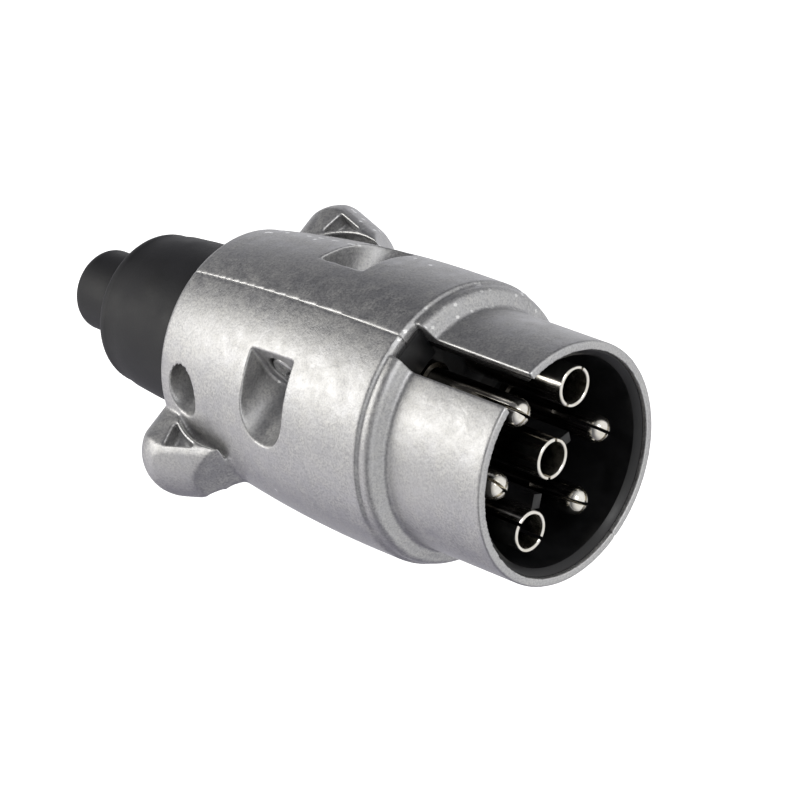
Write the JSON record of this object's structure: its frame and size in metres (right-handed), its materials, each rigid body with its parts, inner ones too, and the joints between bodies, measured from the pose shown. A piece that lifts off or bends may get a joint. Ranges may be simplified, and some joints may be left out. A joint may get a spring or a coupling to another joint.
{
  "type": "trailer wiring connector",
  "caption": "Round trailer wiring plug: cast metal half shells with a keyed skirt, split pin and sleeve contacts in a moulded insert, wire terminals, casing screws and a rubber cable boot.",
  "frame": {"origin": "centre of the mating skirt's front rim", "axes": "+X along the plug's axis out of its mating end, +Z through the key slot, +Y to the left"},
  "size_m": [0.1146, 0.062, 0.0494],
  "materials": {
    "cast_aluminium": "die cast, satin, lightly speckled, edges polished by handling",
    "black_plastic": "moulded, low gloss",
    "black_rubber": "matte",
    "nickel_contact": "nickel plated brass, bright",
    "zinc_plated_steel": "zinc plated"
  },
  "bodies": {
    "root": {"housing_half_left": "cast_aluminium", "housing_half_right": "cast_aluminium", "contact_insert": "black_plastic", "cable_boot": "black_rubber", "housing_nuts": "zinc_plated_steel", "spring_washers": "zinc_plated_steel", "pin_contact_1": "nickel_contact", "pin_contact_2": "nickel_contact", "pin_contact_3": "nickel_contact", "pin_contact_4": "nickel_contact", "sleeve_contact_1": "nickel_contact", "sleeve_contact_2": "nickel_contact", "sleeve_contact_3": "nickel_contact", "terminal_screw_1": "zinc_plated_steel", "terminal_screw_2": "zinc_plated_steel", "terminal_screw_3": "zinc_plated_steel", "terminal_screw_4": "zinc_plated_steel", "terminal_screw_5": "zinc_plated_steel", "terminal_screw_6": "zinc_plated_steel", "terminal_screw_7": "zinc_plated_steel"},
    "middle_screw_top": {"middle_screw_top": "zinc_plated_steel"},
    "middle_screw_bottom": {"middle_screw_bottom": "zinc_plated_steel"},
    "clamp_screw_top": {"clamp_screw_top": "zinc_plated_steel"},
    "clamp_screw_bottom": {"clamp_screw_bottom": "zinc_plated_steel"}
  },
  "joints": [
    {"name": "middle_screw_turn_top", "type": "hinge", "parent": "root", "child": "middle_screw_top", "pos_m": [-0.0476, -0.01, 0.0161], "axis": [0, -1, 0], "continuous": true},
    {"name": "middle_screw_turn_bottom", "type": "hinge", "parent": "root", "child": "middle_screw_bottom", "pos_m": [-0.0476, -0.01, -0.0161], "axis": [0, -1, 0], "continuous": true},
    {"name": "clamp_screw_turn_top", "type": "hinge", "parent": "root", "child": "clamp_screw_top", "pos_m": [-0.0696, -0.01, 0.01145], "axis": [0, -1, 0], "continuous": true},
    {"name": "clamp_screw_turn_bottom", "type": "hinge", "parent": "root", "child": "clamp_screw_bottom", "pos_m": [-0.0696, -0.01, -0.01145], "axis": [0, -1, 0], "continuous": true}
  ]
}
